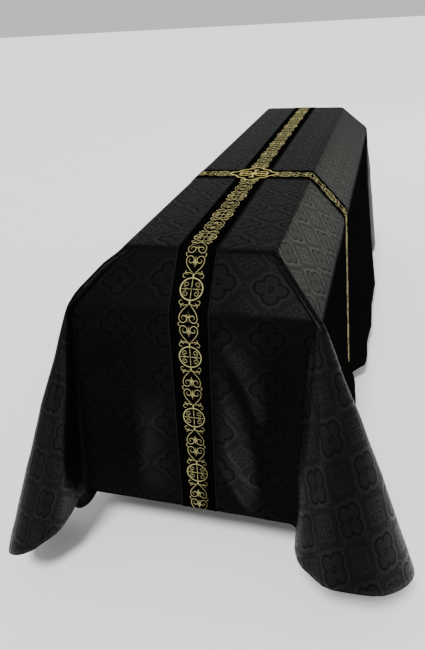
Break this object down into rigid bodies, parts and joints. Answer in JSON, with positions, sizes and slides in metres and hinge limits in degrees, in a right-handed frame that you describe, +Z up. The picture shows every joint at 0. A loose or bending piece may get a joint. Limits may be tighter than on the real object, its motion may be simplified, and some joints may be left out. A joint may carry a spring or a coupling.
{
  "type": "funeral pall draped over a casket on a bier",
  "caption": "Black damask funeral pall with a gold-woven cross of bands, draped over a hip-lidded casket on a plain bier, with a soft flare at each corner.",
  "frame": {"origin": "on the floor under the middle of the whole pall's box", "axes": "+Y along the casket towards its far end, +X towards the pall's right side, +Z up"},
  "size_m": [1.0792, 2.6364, 0.8403],
  "materials": {
    "damask": "black figured damask with a soft sheen",
    "galloon": "matt black band with woven gold ornament",
    "gold_thread": "gold thread embroidery",
    "wood": "dark satin varnish"
  },
  "bodies": {
    "root": {"pall_cloth": "damask", "band_long": "galloon", "band_arm_left": "galloon", "band_arm_right": "galloon", "plaque": "gold_thread", "casket": "wood", "bier_board": "wood", "bier_leg_near_right": "wood", "bier_leg_far_right": "wood", "bier_leg_far_left": "wood", "bier_leg_near_left": "wood", "bier_rail_right": "wood", "bier_rail_left": "wood"}
  },
  "joints": []
}
